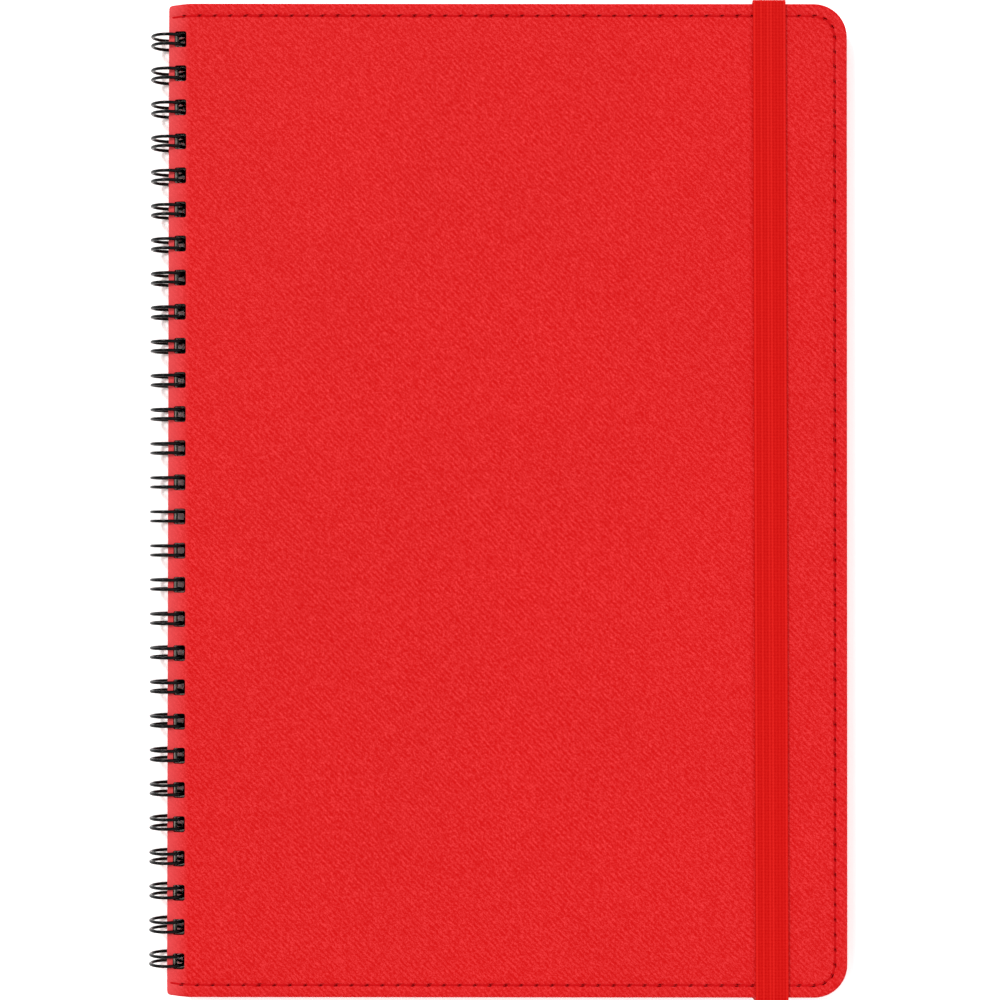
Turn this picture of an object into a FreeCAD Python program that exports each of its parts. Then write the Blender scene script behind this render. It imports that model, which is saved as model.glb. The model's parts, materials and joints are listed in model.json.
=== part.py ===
import FreeCAD, Part
import Sketcher

import math
import os

Vector = FreeCAD.Vector

# A wire-bound notebook with padded, sewn covers and an elastic closure band.
# It lies flat: +X runs from the spine to the fore edge, +Y to the head, +Z out of the front cover.
# The origin is the centre of the base. Lengths are in millimetres, angles in degrees.

SIZES = [
    ("cover_width", 168.5, "spine edge to fore edge of each cover"),
    ("cover_height", 246.5, "foot to head of each cover"),
    ("cover_corner", 8.2, "corner radius at the fore edge"),
    ("spine_corner", 1.0, "corner radius at the spine edge"),
    ("pinch_length", 5.5, "length over which head and foot draw in towards the spine edge"),
    ("pinch", 0.6, "how far head and foot have drawn in at the spine edge"),
    ("skin_thickness", 0.45, "imitation leather"),
    ("board_thickness", 0.9, "stiffening board inside each cover"),
    ("lining_thickness", 0.2, "lining paper, and the turned-in skin around it"),
    ("turn_in", 5.0, "width of skin that shows inside the cover, around the lining"),
    ("rim_round", 0.4, "rounding of the cover's outer rim"),
    ("roll_width", 5.0, "width of the strip along the spine that rolls inwards"),
    ("roll_drop", 0.35, "how far the outer face has dropped at the spine edge"),
    ("seam_inset", 3.1, "cover edge to the middle of the seam"),
    ("seam_width", 0.8, "width of the sunk line that the thread lies in"),
    ("seam_depth", 0.25, "depth of that sunk line"),
    ("thread_width", 0.55, "width of the sewing thread as it lies"),
    ("thread_height", 0.22, "height of the sewing thread as it lies"),
    ("stitch_pitch", 3.6, "needle hole to needle hole"),
    ("needle_hole", 0.6, "diameter of a needle hole, and the gap between two stitches"),
    ("paper_thickness", 4.0, "height of the closed stack of sheets"),
    ("paper_inset", 3.5, "head, foot and fore edge of the sheets inside the covers"),
    ("paper_spine_inset", 0.7, "spine edge of the sheets inside the covers"),
    ("paper_corner", 6.0, "corner radius of the sheets at the fore edge"),
    ("paper_gap", 0.05, "air between the stack and each cover"),
    ("loop_count", 28, "wire loops"),
    ("loop_pitch", 8.4667, "loop to loop, three to the inch"),
    ("loop_radius", 4.3, "wire centre line about the hinge line"),
    ("wire_radius", 0.4, "wire"),
    ("strand_spacing", 2.3, "the two strands of one loop"),
    ("wire_bend", 0.8, "bend from a strand into the bar between two loops"),
    ("bar_inset", 0.06, "bars above the underside of the stack"),
    ("tip_lap", 0.5, "finger tips below the bars"),
    ("wire_clearance", 0.1, "air around the wire"),
    ("hinge_offset", 0.2, "hinge line outside the covers' spine edges"),
    ("cover_hole_edge", 1.55, "cover's spine edge to its holes"),
    ("cover_hole_width", 2.75, "cover hole across the spine"),
    ("paper_hole_edge", 2.35, "cover's spine edge to the holes in the sheets"),
    ("paper_hole_width", 2.5, "sheet hole across the spine"),
    ("hole_length", 3.75, "every hole along the spine"),
    ("hole_corner", 0.5, "corner radius of every hole"),
    ("strap_width", 8.2, "elastic band"),
    ("strap_thickness", 0.7, "elastic band"),
    ("strap_edge", 15.0, "band to the fore edge"),
    ("strap_gap", 0.2, "air between the band and the front cover"),
    ("strap_tuck", 6.0, "length of each band end inside the back cover"),
    ("strap_bend", 1.0, "outer radius where the band turns over the edges"),
    ("strap_inner_bend", 0.25, "inner radius where the band turns over the edges"),
    ("slit_clearance", 0.1, "air around the band ends inside the back cover"),
]

# Places that follow from the sizes. Heights are counted from the hinge line, positive outwards
# through a cover, and lengths across the spine from the covers' spine edges.
PLACES = [
    ("loop_outer", "Sizes.loop_radius + Sizes.wire_radius"),
    ("spine_x", "(Sizes.hinge_offset + loop_outer - Sizes.cover_width) / 2"),
    ("half_cover", "Sizes.cover_height / 2"),
    ("half_paper", "Sizes.paper_thickness / 2"),
    ("inner_face", "half_paper + Sizes.paper_gap"),
    ("lining_face", "inner_face + Sizes.lining_thickness"),
    ("board_face", "lining_face + Sizes.board_thickness"),
    ("outer_face", "board_face + Sizes.skin_thickness"),
    ("roll_slope", "Sizes.roll_drop / Sizes.roll_width"),
    ("half_board", "half_cover - Sizes.skin_thickness"),
    ("pinched_cover", "half_cover - Sizes.pinch"),
    ("pinched_board", "pinched_cover - Sizes.skin_thickness"),
    ("half_lining", "half_cover - Sizes.turn_in"),
    ("half_sheet", "half_cover - Sizes.paper_inset"),
    ("half_row", "(Sizes.loop_count - 1) * Sizes.loop_pitch / 2"),
    ("half_hole", "Sizes.hole_length / 2"),
    ("seam_radius", "Sizes.cover_corner - Sizes.seam_inset"),
    ("seam_floor", "outer_face - Sizes.seam_depth"),
    ("bar_drop", "half_paper - Sizes.bar_inset - Sizes.wire_radius"),
    ("bar_x", "sqrt(Sizes.loop_radius ^ 2 + Sizes.wire_bend ^ 2 - bar_drop ^ 2) - Sizes.hinge_offset"),
    ("bar_channel", "Sizes.wire_radius + Sizes.wire_clearance"),
    ("strap_x", "Sizes.cover_width - Sizes.strap_edge - Sizes.strap_width / 2"),
    ("strap_inner_y", "half_cover + Sizes.strap_gap"),
    ("strap_outer_y", "strap_inner_y + Sizes.strap_thickness"),
    ("strap_inner_z", "outer_face + Sizes.strap_gap"),
    ("strap_outer_z", "strap_inner_z + Sizes.strap_thickness"),
    ("strap_end_y", "half_cover - Sizes.strap_tuck"),
    ("strap_end_z", "-(lining_face + board_face) / 2"),
    ("half_strap", "Sizes.strap_thickness / 2"),
]

STITCHED_FACES = 2
PARALLEL = 1e-6
SAME_PLACE = 1e-4
CHANNEL_RISE = 2  # the cutter for the seam stands this many seam depths high, to clear the face

doc = FreeCAD.newDocument("wire_bound_notebook")
sheet = doc.addObject("Spreadsheet::Sheet", "Sizes")
places = doc.addObject("Spreadsheet::Sheet", "Places")


def fill_sheets():
    """Write the driving sizes and the places that follow from them."""
    for row, (alias, number, meaning) in enumerate(SIZES, start=1):
        sheet.set(f"A{row}", alias)
        sheet.set(f"B{row}", str(number))
        sheet.set(f"C{row}", meaning)
        sheet.setAlias(f"B{row}", alias)
    for row, (alias, formula) in enumerate(PLACES, start=1):
        places.set(f"A{row}", alias)
        places.setAlias(f"B{row}", alias)
        places.set(f"B{row}", "=" + formula)
    doc.recompute()


def value(expression):
    """Work out one expression of the sheets as a plain number."""
    return float(sheet.evalExpression(expression))


def bind(item, name, expression):
    """Tie one property of an object to an expression of the sheets."""
    item.setExpression(name, expression)


def place(item, across="Places.spine_x", turned=False):
    """Put an object at the hinge line's height; a turned one is the back cover's."""
    if turned:
        item.Placement = FreeCAD.Placement(Vector(), FreeCAD.Rotation(Vector(1, 0, 0), 180))
    bind(item, ".Placement.Base.x", across)
    bind(item, ".Placement.Base.z", "Places.loop_outer")


def origin_feature(body, role):
    """Find a body's own origin plane or axis."""
    return next(item for item in body.Origin.OriginFeatures if item.Role == role)


def new_body(label):
    """Start an empty body."""
    body = doc.addObject("PartDesign::Body", label)
    body.Label = label
    return body


def line_kind(start, end):
    """Tell whether a profile line is level, upright or slanted, from its corners' expressions."""
    if start[1] == end[1]:
        return "Horizontal"
    if start[0] == end[0]:
        return "Vertical"
    return "Slanted"


def profile(body, name, role, corners):
    """Sketch a closed profile on an origin plane.

    Each corner is (x, y) or (x, y, radius), as expressions. Only corners between a level and an
    upright line are rounded.
    """
    sketch = body.newObject("Sketcher::SketchObject", name)
    sketch.AttachmentSupport = [(origin_feature(body, role), "")]
    sketch.MapMode = "FlatFace"
    count = len(corners)
    points = [Vector(value(corner[0]), value(corner[1])) for corner in corners]
    radii = [value(corner[2]) if len(corner) > 2 else 0.0 for corner in corners]
    ahead = [(points[(i + 1) % count] - points[i]).normalize() for i in range(count)]
    for i in range(count):
        start = points[i] + ahead[i] * radii[i]
        end = points[(i + 1) % count] - ahead[i] * radii[(i + 1) % count]
        sketch.addGeometry(Part.LineSegment(start, end), False)
    for i in range(count):
        before = (i - 1) % count
        if radii[i] == 0:
            sketch.addConstraint(Sketcher.Constraint("Coincident", before, 2, i, 1))
            continue
        centre = points[i] + (ahead[i] - ahead[before]) * radii[i]
        left_turn = ahead[before].cross(ahead[i]).z > 0
        first = points[i] - ahead[before] * radii[i] - centre
        last = points[i] + ahead[i] * radii[i] - centre
        if not left_turn:
            first, last = last, first
        begin = math.atan2(first.y, first.x)
        sweep = (math.atan2(last.y, last.x) - begin) % (2 * math.pi)
        circle = Part.Circle(centre, Vector(0, 0, 1), radii[i])
        arc = sketch.addGeometry(Part.ArcOfCircle(circle, begin, begin + sweep), False)
        arc_start, arc_end = (1, 2) if left_turn else (2, 1)
        sketch.addConstraint(Sketcher.Constraint("Tangent", before, 2, arc, arc_start))
        sketch.addConstraint(Sketcher.Constraint("Tangent", arc, arc_end, i, 1))
        tie(sketch, "Radius", (arc,), corners[i][2])
    kinds = [line_kind(corners[i], corners[(i + 1) % count]) for i in range(count)]
    for i in range(count):
        if kinds[i] == "Slanted":
            continue
        sketch.addConstraint(Sketcher.Constraint(kinds[i], i))
        axis = "DistanceY" if kinds[i] == "Horizontal" else "DistanceX"
        tie(sketch, axis, (-1, 1, i, 1), corners[i][1 if kinds[i] == "Horizontal" else 0])
    for i in range(count):
        meeting = {kinds[i - 1], kinds[i]}
        if meeting == {"Horizontal", "Slanted"}:
            tie(sketch, "DistanceX", (-1, 1, i, 1), corners[i][0])
        if meeting == {"Vertical", "Slanted"}:
            tie(sketch, "DistanceY", (-1, 1, i, 1), corners[i][1])
    return sketch


def tie(sketch, kind, where, expression):
    """Add one driving constraint, bound to an expression."""
    index = sketch.addConstraint(Sketcher.Constraint(kind, *where, value(expression)))
    bind(sketch, f"Constraints[{index}]", expression)


def block(x_low, x_high, y_low, y_high):
    """Corners of a rectangle, from expressions."""
    return [(x_low, y_low), (x_high, y_low), (x_high, y_high), (x_low, y_high)]


def pad_both_ways(body, name, sketch, length):
    """Give a profile its length, half to each side of its plane."""
    pad = body.newObject("PartDesign::Pad", name)
    pad.Profile = sketch
    pad.SideType = "Symmetric"
    bind(pad, "Length", length)
    doc.recompute()


def pocket_through(body, name, sketch):
    """Cut a profile right through the body, both ways from its plane."""
    pocket = body.newObject("PartDesign::Pocket", name)
    pocket.Profile = sketch
    pocket.Type = "ThroughAll"
    pocket.SideType = "Symmetric"
    doc.recompute()
    return pocket


def edges_where(shape, test):
    """Names of the edges that pass a test of their two ends."""
    names = []
    for number, edge in enumerate(shape.Edges, start=1):
        if len(edge.Vertexes) == 2 and test(*(vertex.Point for vertex in edge.Vertexes)):
            names.append(f"Edge{number}")
    return names


def upright_at(x):
    """Test for edges that stand along Z at one place across the spine."""
    def test(start, end):
        upright = math.hypot(start.x - end.x, start.y - end.y) < PARALLEL
        return upright and abs(start.x - x) < SAME_PLACE
    return test


def fillet(body, name, names, radius):
    """Round named edges of a body as it stands."""
    base = body.Tip
    feature = body.newObject("PartDesign::Fillet", name)
    feature.Base = (base, names)
    bind(feature, "Radius", radius)
    doc.recompute()


def round_plate_corners(body, fore_x, fore_radius, spine_x, spine_radius):
    """Round a plate's upright edges at the fore edge and at the spine."""
    names = edges_where(body.Shape, upright_at(value(fore_x)))
    fillet(body, body.Name + "_fore_corners", names, fore_radius)
    if spine_radius:
        names = edges_where(body.Shape, upright_at(value(spine_x)))
        fillet(body, body.Name + "_spine_corners", names, spine_radius)


def punch_holes(body, left, width):
    """Punch the row of holes for the wire loops."""
    low = "-Places.half_row - Places.half_hole"
    high = "-Places.half_row + Places.half_hole"
    corners = [(x, y, "Sizes.hole_corner") for x, y in block(left, f"{left} + {width}", low, high)]
    sketch = profile(body, body.Name + "_hole", "XY_Plane", corners)
    before = body.Shape.Volume
    pocket = pocket_through(body, body.Name + "_punch", sketch)
    row = body.newObject("PartDesign::LinearPattern", body.Name + "_hole_row")
    row.Originals = [pocket]
    row.Direction = (origin_feature(body, "Y_Axis"), [""])
    bind(row, "Length", "2 * Places.half_row")
    bind(row, "Occurrences", "Sizes.loop_count")
    body.Tip = row
    doc.recompute()
    if body.Shape.Volume >= before:
        raise ValueError(f"{body.Label} has no holes")


def cut(name, base, tool):
    """Take one object's shape out of another's."""
    result = doc.addObject("Part::Cut", name)
    result.Label = name
    result.Base = base
    result.Tool = tool
    doc.recompute()
    return result


def pinch_spine_ends(body, half_length, pinched_length):
    """Draw a plate's head and foot in towards the spine edge, by a thin wedge off each."""
    for end, sign in (("head", ""), ("foot", "-")):
        corners = [
            ("0", f"{sign}({pinched_length})"),
            ("Sizes.pinch_length", f"{sign}({half_length})"),
            ("0", f"{sign}({half_length})"),
        ]
        wedge = profile(body, f"{body.Name}_{end}_wedge", "XY_Plane", corners)
        pocket_through(body, f"{body.Name}_{end}_pinch", wedge)


def cover_blank(side, turned):
    """The whole cover: a plate with a rolled spine strip, round corners and a soft rim."""
    body = new_body(f"{side}_cover_blank")
    corners = [
        ("0", "Places.inner_face"),
        ("Sizes.cover_width", "Places.inner_face"),
        ("Sizes.cover_width", "Places.outer_face"),
        ("Sizes.roll_width", "Places.outer_face"),
        ("0", "Places.outer_face - Sizes.roll_drop"),
    ]
    section = profile(body, body.Name + "_section", "XZ_Plane", corners)
    pad_both_ways(body, body.Name + "_plate", section, "Sizes.cover_height")
    pinch_spine_ends(body, "Places.half_cover", "Places.pinched_cover")
    round_plate_corners(body, "Sizes.cover_width", "Sizes.cover_corner", "0", "Sizes.spine_corner")
    middle_height = value("(Places.inner_face + Places.outer_face) / 2")
    roll_edge = value("Sizes.roll_width")

    def outer_rim(start, end):
        high = min(start.z, end.z) > middle_height
        crease = max(abs(start.x - roll_edge), abs(end.x - roll_edge)) < SAME_PLACE
        return high and not crease

    fillet(body, body.Name + "_rim", edges_where(body.Shape, outer_rim), "Sizes.rim_round")
    punch_holes(body, "Sizes.cover_hole_edge", "Sizes.cover_hole_width")
    place(body, turned=turned)
    return body


def cover_board(side, turned):
    """The stiffening board, thinned along the spine where the cover rolls inwards."""
    body = new_body(f"{side}_board_blank")
    corners = [
        ("Sizes.skin_thickness", "Places.lining_face"),
        ("Sizes.cover_width - Sizes.skin_thickness", "Places.lining_face"),
        ("Sizes.cover_width - Sizes.skin_thickness", "Places.board_face"),
        ("Sizes.roll_width", "Places.board_face"),
        (
            "Sizes.skin_thickness",
            "Places.board_face - Places.roll_slope * (Sizes.roll_width - Sizes.skin_thickness)",
        ),
    ]
    section = profile(body, body.Name + "_section", "XZ_Plane", corners)
    pad_both_ways(body, body.Name + "_plate", section, "2 * Places.half_board")
    pinch_spine_ends(body, "Places.half_board", "Places.pinched_board")
    round_plate_corners(
        body,
        "Sizes.cover_width - Sizes.skin_thickness",
        "Sizes.cover_corner - Sizes.skin_thickness",
        "Sizes.skin_thickness",
        "Sizes.spine_corner - Sizes.skin_thickness",
    )
    punch_holes(body, "Sizes.cover_hole_edge", "Sizes.cover_hole_width")
    place(body, turned=turned)
    return body


def cover_lining(side, turned):
    """The lining paper, in the frame that the turned-in skin leaves."""
    body = new_body(f"{side}_cover_lining")
    fore = "Sizes.cover_width - Sizes.turn_in"
    corners = block("Sizes.turn_in", fore, "Places.inner_face", "Places.lining_face")
    section = profile(body, body.Name + "_section", "XZ_Plane", corners)
    pad_both_ways(body, body.Name + "_sheet", section, "2 * Places.half_lining")
    round_plate_corners(body, fore, "Sizes.cover_corner - Sizes.turn_in", "Sizes.turn_in", None)
    place(body, turned=turned)
    return body


def seam_path(height):
    """The seam's line at one height: along the head, round the fore edge and back along the foot."""
    start = value("Sizes.roll_width")
    far = value("Sizes.cover_width - Sizes.seam_inset")
    half = value("Places.half_cover - Sizes.seam_inset")
    radius = value("Places.seam_radius")
    diagonal = radius * (1 - math.sqrt(0.5))
    points = [
        Vector(start, half, height),
        Vector(far - radius, half, height),
        Vector(far - diagonal, half - diagonal, height),
        Vector(far, half - radius, height),
        Vector(far, radius - half, height),
        Vector(far - diagonal, diagonal - half, height),
        Vector(far - radius, -half, height),
        Vector(start, -half, height),
    ]
    edges = [
        Part.LineSegment(points[0], points[1]),
        Part.Arc(points[1], points[2], points[3]),
        Part.LineSegment(points[3], points[4]),
        Part.Arc(points[4], points[5], points[6]),
        Part.LineSegment(points[6], points[7]),
    ]
    return Part.Wire([edge.toShape() for edge in edges])


def sweep_along_seam(height, corners):
    """Sweep a section along the seam. Its corners are (sideways, upwards) from the path."""
    path = seam_path(height)
    start = path.Vertexes[0].Point
    points = [start + Vector(0, sideways, upwards) for sideways, upwards in corners]
    section = Part.makePolygon(points + points[:1])
    return path.makePipeShell([section], True, False)


def seam_channel(side, turned):
    """The line that the thread has sunk into the outer face, as a cutter."""
    half = value("Sizes.seam_width / 2")
    top = CHANNEL_RISE * value("Sizes.seam_depth")
    corners = [(-half, 0), (half, 0), (half, top), (-half, top)]
    channel = doc.addObject("Part::Feature", f"{side}_seam_channel")
    channel.Shape = sweep_along_seam(value("Places.seam_floor"), corners)
    place(channel, turned=turned)
    return channel


def cover_stitching(side, turned):
    """The stitches on both faces of a cover, each between two needle holes."""
    half = value("Sizes.thread_width / 2")
    rise = value("Sizes.thread_height")
    shoulder = rise / 2
    section = [
        (-half, 0),
        (half, 0),
        (half, shoulder),
        (half / 2, rise),
        (-half / 2, rise),
        (-half, shoulder),
    ]
    under = [(sideways, -upwards) for sideways, upwards in reversed(section)]
    threads = [
        sweep_along_seam(value("Places.seam_floor"), section),
        sweep_along_seam(value("Places.inner_face"), under),
    ]
    path = seam_path(0)
    stitch_count = max(1, round(path.Length / value("Sizes.stitch_pitch")))
    needle_points = path.discretize(Number=stitch_count + 1)[1:-1]
    depth = value("Places.outer_face") + rise
    needles = [Part.makeCylinder(value("Sizes.needle_hole / 2"), depth, point) for point in needle_points]
    stitches = [piece for thread in threads for piece in thread.cut(needles).Solids]
    if len(stitches) != stitch_count * STITCHED_FACES:
        raise ValueError(f"{side} cover has {len(stitches)} stitches")
    node = doc.addObject("Part::Feature", f"{side}_cover_stitching")
    node.Label = f"{side}_cover_stitching"
    node.Shape = Part.makeCompound(stitches)
    place(node, turned=turned)
    return node


def strap_slits():
    """The two slits in the back cover that take the band's ends."""
    slits = []
    left = "Places.spine_x + Places.strap_x - Sizes.strap_width / 2 - Sizes.slit_clearance"
    for end in ("head", "foot"):
        slit = doc.addObject("Part::Box", f"strap_slit_{end}")
        bind(slit, "Length", "Sizes.strap_width + 2 * Sizes.slit_clearance")
        bind(slit, "Width", "Sizes.strap_tuck + 2 * Sizes.slit_clearance")
        bind(slit, "Height", "Sizes.board_thickness")
        bind(slit, ".Placement.Base.x", left)
        bind(slit, ".Placement.Base.z", "Places.loop_outer - Places.board_face")
        slits.append(slit)
    bind(slits[0], ".Placement.Base.y", "Places.strap_end_y - Sizes.slit_clearance")
    bind(slits[1], ".Placement.Base.y", "-Places.half_cover - Sizes.slit_clearance")
    pair = doc.addObject("Part::MultiFuse", "strap_slit_pair")
    pair.Shapes = slits
    doc.recompute()
    return pair


def cover(side, slits=None):
    """One cover: skin wrapped round the board, lining and stitching."""
    turned = side == "back"
    blank = cover_blank(side, turned)
    board = cover_board(side, turned)
    lining = cover_lining(side, turned)
    grooved = cut(f"{side}_grooved_blank", blank, seam_channel(side, turned))
    hollowed = cut(f"{side}_hollow_blank", grooved, board)
    skin = cut(f"{side}_cover_skin", hollowed, lining)
    if slits:
        skin.Label = f"{side}_closed_skin"
        skin = cut(f"{side}_slit_skin", skin, slits)
        board = cut(f"{side}_slit_board", board, slits)
    skin.Label = f"{side}_cover_skin"
    board.Label = f"{side}_cover_board"
    return [skin, board, lining, cover_stitching(side, turned)]


def page_block():
    """The stack of sheets, pressed in underneath where the wire's bars lie."""
    body = new_body("page_block")
    fore = "Sizes.cover_width - Sizes.paper_inset"
    corners = block("Sizes.paper_spine_inset", fore, "-Places.half_paper", "Places.half_paper")
    section = profile(body, "page_section", "XZ_Plane", corners)
    pad_both_ways(body, "page_stack", section, "2 * Places.half_sheet")
    round_plate_corners(body, fore, "Sizes.paper_corner", "Sizes.paper_spine_inset", None)
    corners = block(
        "Places.bar_x - Places.bar_channel",
        "Places.bar_x + Places.bar_channel",
        "-Places.half_paper - Sizes.wire_radius",
        "-Places.bar_drop + Places.bar_channel",
    )
    channel = profile(body, "bar_channel_section", "XZ_Plane", corners)
    pocket = body.newObject("PartDesign::Pocket", "bar_channel")
    pocket.Profile = channel
    pocket.SideType = "Symmetric"
    bind(pocket, "Length", "2 * Places.half_row")
    doc.recompute()
    punch_holes(body, "Sizes.paper_hole_edge", "Sizes.paper_hole_width")
    place(body)
    return body


class WireRun:
    """A round wire laid end to end from bends and straights, gathered as its outer faces."""

    def __init__(self, start, heading):
        self.heading = heading
        self.ring = Part.Edge(Part.Circle(start, heading, value("Sizes.wire_radius")))
        self.first_ring = self.ring
        self.faces = []

    def straight(self, length):
        """Lay a straight length ahead."""
        step = self.heading * length
        self.faces.append(self.ring.extrude(step))
        self.ring = self.ring.translated(step)

    def bend(self, centre, axis, angle):
        """Bend the wire round an axis, by an angle in degrees."""
        self.faces.append(self.ring.revolve(centre, axis, angle))
        self.ring = self.ring.rotated(centre, axis, angle)
        self.heading = FreeCAD.Rotation(axis, angle).multVec(self.heading)

    def middle(self):
        """The wire's centre at its end."""
        return self.ring.Curve.Center

    def solid(self):
        """Close both ends and make one solid of the faces."""
        caps = [Part.Face(Part.Wire([ring])) for ring in (self.first_ring, self.ring)]
        shell = Part.makeShell(self.faces + caps)
        shell.sewShape()
        return Part.makeSolid(shell)


def wire_binding():
    """The twin-loop wire: one wire bent into fingers that hook round the hinge line.

    Every finger leaves the bars below the sheets, goes up through the holes, over the spine and
    back under it, and turns round at its tip inside the back cover's hole.
    """
    radius = value("Sizes.loop_radius")
    bend = value("Sizes.wire_bend")
    tip = value("Sizes.strand_spacing / 2")
    bar_drop = value("Places.bar_drop")
    start_angle = -math.asin(bar_drop / math.hypot(radius, bend)) + math.atan(bend / radius)
    tip_drop = bar_drop + value("Sizes.tip_lap")
    tip_angle = -math.asin(tip_drop / math.hypot(radius, tip)) - math.atan(tip / radius)
    turn = math.degrees(tip_angle - start_angle) + 360
    hinge_x = -value("Sizes.hinge_offset")
    bar_length = value("Sizes.loop_pitch - Sizes.strand_spacing - 2 * Sizes.wire_bend")
    over_spine = Vector(0, -1, 0)
    outwards = Vector(math.cos(start_angle), 0, math.sin(start_angle))
    tip_outwards = Vector(math.cos(tip_angle), 0, math.sin(tip_angle))
    y = -value("Places.half_row") - tip
    run = WireRun(Vector(hinge_x, y, 0) + outwards * radius, over_spine.cross(outwards))
    loop_count = int(value("Sizes.loop_count"))
    for loop in range(loop_count):
        run.bend(Vector(hinge_x, y, 0), over_spine, turn)
        run.bend(run.middle() + Vector(0, tip, 0), tip_outwards, -180)
        y += 2 * tip
        run.bend(Vector(hinge_x, y, 0), over_spine, -turn)
        if loop < loop_count - 1:
            run.bend(run.middle() + Vector(0, bend, 0), outwards, 90)
            run.straight(bar_length)
            run.bend(run.middle() + over_spine.cross(outwards) * bend, outwards, 90)
            y += bar_length + 2 * bend
    node = doc.addObject("Part::Feature", "wire_binding")
    node.Label = "wire_binding"
    node.Shape = run.solid()
    place(node)
    return node


def elastic_band():
    """The closure band, from one slit of the back cover over the front cover to the other."""
    body = new_body("elastic_band")
    low = "Places.strap_end_z - Places.half_strap"
    high = "Places.strap_end_z + Places.half_strap"
    outer = "Sizes.strap_bend"
    inner = "Sizes.strap_inner_bend"
    corners = [
        ("Places.strap_end_y", low),
        ("Places.strap_outer_y", low, outer),
        ("Places.strap_outer_y", "Places.strap_outer_z", outer),
        ("-Places.strap_outer_y", "Places.strap_outer_z", outer),
        ("-Places.strap_outer_y", low, outer),
        ("-Places.strap_end_y", low),
        ("-Places.strap_end_y", high),
        ("-Places.strap_inner_y", high, inner),
        ("-Places.strap_inner_y", "Places.strap_inner_z", inner),
        ("Places.strap_inner_y", "Places.strap_inner_z", inner),
        ("Places.strap_inner_y", high, inner),
        ("Places.strap_end_y", high),
    ]
    section = profile(body, "band_line", "YZ_Plane", corners)
    pad_both_ways(body, "band", section, "Sizes.strap_width")
    place(body, across="Places.spine_x + Places.strap_x")
    return body


def check_objects():
    """Stop if any object failed to build."""
    for item in doc.Objects:
        if {"Invalid", "Error"} & set(item.State):
            raise ValueError(f"{item.Name} failed: {item.State}")


def export(nodes):
    """Write each sub-part's shape under its own name."""
    for node in nodes:
        shape = node.Shape
        if shape.isNull() or not shape.isValid():
            raise ValueError(f"{node.Label} has no valid shape")
        shape.exportStep(os.path.join("parts", node.Label + ".step"))
        box = shape.BoundBox
        print(f"{node.Label}: {len(shape.Solids)} solids, {shape.Volume:.1f} mm3, "
              f"X {box.XMin:.2f} to {box.XMax:.2f}, Y {box.YMin:.2f} to {box.YMax:.2f}, "
              f"Z {box.ZMin:.2f} to {box.ZMax:.2f}")


fill_sheets()
nodes = cover("front")
nodes += cover("back", strap_slits())
nodes.append(page_block())
nodes.append(wire_binding())
nodes.append(elastic_band())
doc.recompute()
check_objects()
os.makedirs("parts", exist_ok=True)
export(nodes)
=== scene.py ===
"""A wire-bound notebook in sewn imitation leather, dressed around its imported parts.

The notebook lies closed on its back cover: the wire along the left, the elastic band near the
fore edge. Lengths are in metres, and MM turns a size in millimetres into them.
"""
import json
import logging
import math
import random
from collections.abc import Callable, Iterable, Iterator
from contextlib import contextmanager
from dataclasses import dataclass
from enum import Enum

import bmesh
import bpy
from mathutils import Matrix, Vector
from mathutils.kdtree import KDTree


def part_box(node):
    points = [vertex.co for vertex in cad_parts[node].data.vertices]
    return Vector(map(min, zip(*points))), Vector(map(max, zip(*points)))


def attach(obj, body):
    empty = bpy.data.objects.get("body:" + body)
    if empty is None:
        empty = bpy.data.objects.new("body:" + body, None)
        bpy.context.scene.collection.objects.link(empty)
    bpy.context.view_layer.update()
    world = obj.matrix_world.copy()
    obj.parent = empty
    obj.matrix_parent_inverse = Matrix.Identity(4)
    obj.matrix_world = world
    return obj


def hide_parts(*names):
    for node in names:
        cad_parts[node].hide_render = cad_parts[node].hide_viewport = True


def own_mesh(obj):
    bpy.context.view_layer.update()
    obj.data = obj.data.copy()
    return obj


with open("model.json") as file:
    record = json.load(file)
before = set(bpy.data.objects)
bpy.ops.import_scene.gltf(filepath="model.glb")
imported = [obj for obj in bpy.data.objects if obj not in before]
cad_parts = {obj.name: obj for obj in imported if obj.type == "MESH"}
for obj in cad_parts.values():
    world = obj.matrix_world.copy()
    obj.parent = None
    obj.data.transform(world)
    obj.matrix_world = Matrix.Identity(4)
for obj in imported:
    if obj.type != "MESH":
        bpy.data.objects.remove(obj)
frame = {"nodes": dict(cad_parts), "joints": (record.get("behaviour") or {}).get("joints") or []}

MM = 0.001
SNAP = 0.001 * MM
WALL_SLOPE = 0.9  # a face whose normal points this much up or down is no wall
TIDY_ANGLE = math.radians(32)
THREAD_ANGLE = math.radians(60)
BAND_ANGLE = math.radians(50)
WAVE_UNIT = 2 * math.pi / 20  # the wave texture's scale that gives one wave to a unit
NOISE_LOW, NOISE_HIGH = 0.3, 0.7  # the span that a noise mostly keeps to
RED, GREEN, BLUE = slice(1, 3), slice(3, 5), slice(5, 7)

log = logging.getLogger("notebook")


class Element(Enum):
    """The kinds of mesh element that can be selected."""

    POINTS = "VERT"
    EDGES = "EDGE"
    FACES = "FACE"


class Side(Enum):
    """The two covers, named as their nodes and bodies are."""

    FRONT = "front_cover"
    BACK = "back_cover"


# Mesh helpers


def middle(element: bmesh.types.BMVert | bmesh.types.BMEdge | bmesh.types.BMFace) -> Vector:
    """The middle of a point, an edge or a face.

    Args:
        element: One element of a mesh.

    Returns:
        Its middle.
    """
    if isinstance(element, bmesh.types.BMVert):
        return element.co
    if isinstance(element, bmesh.types.BMEdge):
        return (element.verts[0].co + element.verts[1].co) / 2
    return element.calc_center_median()


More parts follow.
